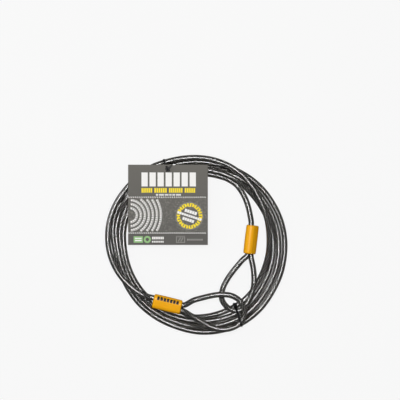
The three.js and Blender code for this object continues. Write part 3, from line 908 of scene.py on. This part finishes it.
tagLow, tagHigh = (np.array(v) * 1000 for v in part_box("hang_tag"))
tagTop = tagHigh[2]
hole = {"radius": 145.0, "angle": 112.0, "size": 6.4}
tagLay = {
    "reach": 175.0, "beyondHole": 2.0,
    "inHole": (0.6, 0.6),  # how far outside the hole's middle the strap passes, and how tightly it turns
    "under": 7.0, "over": 0.9,
    "head": (hole["radius"] + 0.4, 0.0, tagTop + 1.0), "headTurn": 0,
    "tailHeading": 46, "tailUp": 2.5, "tailRise": (8.0, 0.0, 4.0), "tailCurl": (2.0, 0.0, -3.0),
}
tagPlane = upright(0, 0, hole["angle"])
tagHeld = [(u, z) for u, z in crossings(route, tagPlane, tagLay["reach"])
           if u > hole["radius"] + tagLay["beyondHole"]]
print("tag tie holds cables at", [(round(u, 1), round(z, 1)) for u, z in tagHeld])
outward, bend = tagLay["inHole"]
turned = [(hole["radius"] + outward, z, bend) for z in (tagLay["under"], tagTop + tagLay["over"])]
tagTie = tiePiece("tagTie", tagPlane, [(u, z, strapRadius) for u, z in tagHeld] + turned, tagLay)
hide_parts("tag_tie")
print("ties made")

# The card hang tag: places are in mm from its lower left corner
card = {
    "thick": 0.8, "inkLift": 0.03, "whiteLift": 0.05, "inkThick": 0.07,
    "bow": 1.4, "bowFrom": 12.0, "bowMiddle": 0.35,
    "headline": {"left": 24.0, "right": 121.5, "low": 105.0, "high": 130.0, "blocks": 7, "gap": 3.2},
    "subline": {"left": 24.0, "low": 93.8, "high": 102.0, "bars": (20.0, 23.0, 25.0, 19.5), "gap": 3.2},
    "smallLine": {
        "left": 50.0, "low": 88.4, "high": 91.6, "bars": (4.0, 9.0, 7.0, 4.0, 5.0, 9.0), "gap": 1.4,
    },
    "cellShare": 0.74,  # of each cell of a line of small blocks that is inked
    "dashes": {"from": 1.6, "margin": 1.2, "pitch": 3.9, "shape": (2.9, 1.25, 122)},
    "badge": {
        "x": 110.0, "y": 52.0, "rim": (24.0, 24.9), "band": (16.8, 23.0), "ticks": 27, "tickShare": 0.62,
        "thread": (2.6, 1.2), "slant": -18.0, "blockShare": 0.86,
        # rows of blocks: shift up, length, height, count
        "rows": ((7.6, 23.0, 5.6, 5), (0.0, 46.0, 4.0, 11), (-7.4, 22.0, 5.2, 5)),
    },
    "coil": {
        "x": 3.0, "y": 53.5, "radii": (12.0, 56.0, 7.2), "reach": 28.0, "edge": (1.9, 2.6),
        "hatch": 4.0, "stroke": (2.6, 2.9, -28),
    },
    "greenBox": (10.0, 4.2, 26.5, 15.6), "greenRing": (34.5, 9.9, 3.0, 6.4),
    "greenBars": ((12.4, 10.9, 24.2, 12.9), (12.4, 7.0, 24.2, 9.0)),
    "words": {"left": 43.0, "pitch": 3.1, "count": 7, "rows": ((2.1, 4.4, 7.4), (2.4, 10.2, 14.8))},
    "outline": ((86.0, 4.2, 87.2, 15.4), (100.8, 4.2, 102.0, 15.4), (87.2, 4.2, 100.8, 5.4),
                (87.2, 14.2, 100.8, 15.4)),
    "outlineBars": ((92.0, 9.8, 8.0, 1.6, 55), (96.5, 9.8, 8.0, 1.6, 55)),
    "greyWords": {"left": 106.0, "pitch": 3.6, "count": 8, "width": 2.4, "low": 8.0, "high": 11.0},
}


def bowOf(x, y):
    # the card lifts gently towards its lower corners: bow * drop^2 * (m + (1 - m) aside^2), with drop the
    # share of the way down, aside the share of the way out to a side and m the middle's share of the bow
    drop = np.clip((tagHigh[1] - card["bowFrom"] - y) / (tagHigh[1] - tagLow[1]), 0, 1)
    middle = (tagLow[0] + tagHigh[0]) / 2
    aside = (x - middle) / (tagHigh[0] - middle)
    return card["bow"] * drop**2 * (card["bowMiddle"] + (1 - card["bowMiddle"]) * aside**2)


def onCard(lift):
    return lambda flat: tagLow[2] + card["thick"] + lift + bowOf(flat[..., 0], flat[..., 1])


def rectangle(x0, y0, x1, y1):
    # a flat grid over a box, with steps of at most 4 mm, so that it follows the card's bow
    step = 4.0
    n = max(2, int((x1 - x0) / step) + 2)
    m = max(2, int((y1 - y0) / step) + 2)
    u, v = np.meshgrid(np.linspace(x0, x1, n), np.linspace(y0, y1, m), indexing="ij")
    return np.stack([tagLow[0] + u, tagLow[1] + v], axis=-1)


def arc(x, y, inner, outer, start=0.0, end=360.0):
    # a flat band between two radii, angles in degrees. The outer radius comes first, which keeps the grid
    # the same way round as a rectangle's, so its slab faces up.
    n = max(4, int(abs(end - start) / 6) + 2)
    t, r = np.meshgrid(np.radians(np.linspace(start, end, n)), np.array([inner, outer]), indexing="ij")
    return np.stack([tagLow[0] + x + r * np.cos(t), tagLow[1] + y + r * np.sin(t)], axis=-1)[:, ::-1]


def slanted(x, y, length, high, degrees):
    # a bar with its middle at (x, y), turned
    a, b = length / 2, high / 2
    u, v = np.meshgrid(np.linspace(-a, a, 6), np.linspace(-b, b, 2), indexing="ij")
    c, s = math.cos(math.radians(degrees)), math.sin(math.radians(degrees))
    return np.stack([tagLow[0] + x + c * u - s * v, tagLow[1] + y + s * u + c * v], axis=-1)


def cardPiece():
    # grid (i, j): from the hole's rim at i = 0 to the card's edge, j round both; top and bottom are joined
    # at the rims. point = hole point + (edge point - hole point) * t
    perSide, rings = 40, 26
    corners = np.array([tagLow[:2], [tagHigh[0], tagLow[1]], tagHigh[:2], [tagLow[0], tagHigh[1]]])
    t = np.linspace(0, 1, perSide, endpoint=False)[:, None]
    edge = np.vstack([corners[k] + (corners[(k + 1) % 4] - corners[k]) * t for k in range(4)])
    centre = polar(hole["radius"], hole["angle"], 0)[:2]
    away = edge - centre
    rim = centre + hole["size"] / 2 * away / np.linalg.norm(away, axis=1, keepdims=True)
    share = (np.linspace(0, 1, rings) ** 1.5)[:, None, None]  # the rings stand closer near the hole
    flat = rim + (edge - rim) * share
    low = tagLow[2] + bowOf(flat[..., 0], flat[..., 1])
    bottom = np.dstack([flat, low])
    top = np.dstack([flat, low + card["thick"]])
    grid = np.concatenate([top, bottom[::-1], top[:1]])
    faces = gridFaces(*grid.shape[:2])
    piece = makePiece("tagCard", grid.reshape(-1, 3), faces, finish["card"], smooth=False, merge=True)
    piece.data.materials.append(finish["edge"])
    upness = np.array([abs(p.normal[2]) for p in piece.data.polygons])
    piece.data.polygons.foreach_set("material_index", (upness < 0.5).astype(np.int32))
    return piece


def artwork():
    # plain shapes only: blocks, bars, rings and dashes, sorted by ink
    art = {"white": [], "yellow": [], "green": [], "grey": []}
    line = card["headline"]
    width = (line["right"] - line["left"] + line["gap"]) / line["blocks"]
    for i in range(line["blocks"]):
        left = line["left"] + i * width
        art["white"].append(rectangle(left, line["low"], left + width - line["gap"], line["high"]))
    for name, ink, cell in (("subline", "yellow", 3.6), ("smallLine", "white", 1.9)):
        line = card[name]
        left = line["left"]
        for bar in line["bars"]:
            count = max(1, round(bar / cell))
            for i in range(count):
                x = left + i * bar / count
                art[ink].append(rectangle(x, line["low"], x + bar / count * card["cellShare"], line["high"]))
            left += bar + line["gap"]
    dashes = card["dashes"]
    for y in cutLines:
        for x in np.arange(dashes["from"], tagHigh[0] - tagLow[0] - dashes["margin"], dashes["pitch"]):
            art["white"].append(slanted(x, y, *dashes["shape"]))

    # the badge: a rim, a band of ticks joined by a stepped thread, and slanted rows of blocks
    badge = card["badge"]
    x, y = badge["x"], badge["y"]
    art["grey"].append(arc(x, y, *badge["rim"]))
    step, split = 360 / badge["ticks"], badge["tickShare"]
    inner, outer = badge["band"]
    threadStep, threadWidth = badge["thread"]
    for i in range(badge["ticks"]):
        art["yellow"].append(arc(x, y, inner, outer, i * step, (i + split) * step))
        low = inner + threadStep * (i % 3)
        art["yellow"].append(arc(x, y, low, low + threadWidth, (i + split) * step, (i + 1) * step))
    turn = math.radians(badge["slant"])
    for shift, length, high, count in badge["rows"]:
        for i in range(count):
            along = ((i + 0.5) / count - 0.5) * length
            art["white"].append(slanted(
                x + along * math.cos(turn) - shift * math.sin(turn),
                y + along * math.sin(turn) + shift * math.cos(turn),
                length / count * badge["blockShare"], high, badge["slant"]))

    # a plain drawing of a coiled cable that runs off the card's edge
    coil = card["coil"]
    x, y = coil["x"], coil["y"]
    edgeLow, edgeHigh = coil["edge"]
    strokeLength, strokeHigh, strokeTurn = coil["stroke"]
    for radius in np.arange(*coil["radii"]):
        limit = math.degrees(math.asin(min(0.998, coil["reach"] / radius)))
        art["white"].append(arc(x, y, radius + edgeLow, radius + edgeHigh, -limit, limit))
        count = round(2 * math.radians(limit) * radius / coil["hatch"])
        for i in range(count):
            angle = -limit + (i + 0.5) * 2 * limit / count
            turn = math.radians(angle)
            art["white"].append(slanted(x + radius * math.cos(turn), y + radius * math.sin(turn),
                                        strokeLength, strokeHigh, angle + strokeTurn))

    # the row of marks along the lower edge
    art["green"] += [rectangle(*card["greenBox"]), arc(*card["greenRing"])]
    art["white"] += [rectangle(*box) for box in card["greenBars"]]
    words = card["words"]
    for i in range(words["count"]):
        left = words["left"] + i * words["pitch"]
        art["white"] += [rectangle(left, low, left + wide, high) for wide, low, high in words["rows"]]
    art["grey"] += [rectangle(*box) for box in card["outline"]]
    art["grey"] += [slanted(*bar) for bar in card["outlineBars"]]
    words = card["greyWords"]
    for i in range(words["count"]):
        left = words["left"] + words["pitch"] * i
        art["grey"].append(rectangle(left, words["low"], left + words["width"], words["high"]))
    return art


tagCard = cardPiece()
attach(tagCard, "tag")
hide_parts("hang_tag")
for ink, patches in artwork().items():
    lift = card["inkLift"] + (card["whiteLift"] if ink == "white" else 0.0)
    points, faces = slabs(patches, onCard(lift), onCard(lift + card["inkThick"]))
    printed = makePiece("tagPrint_" + ink, points, faces, finish[ink], smooth=False)
    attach(printed, "tag")
print("tag made")
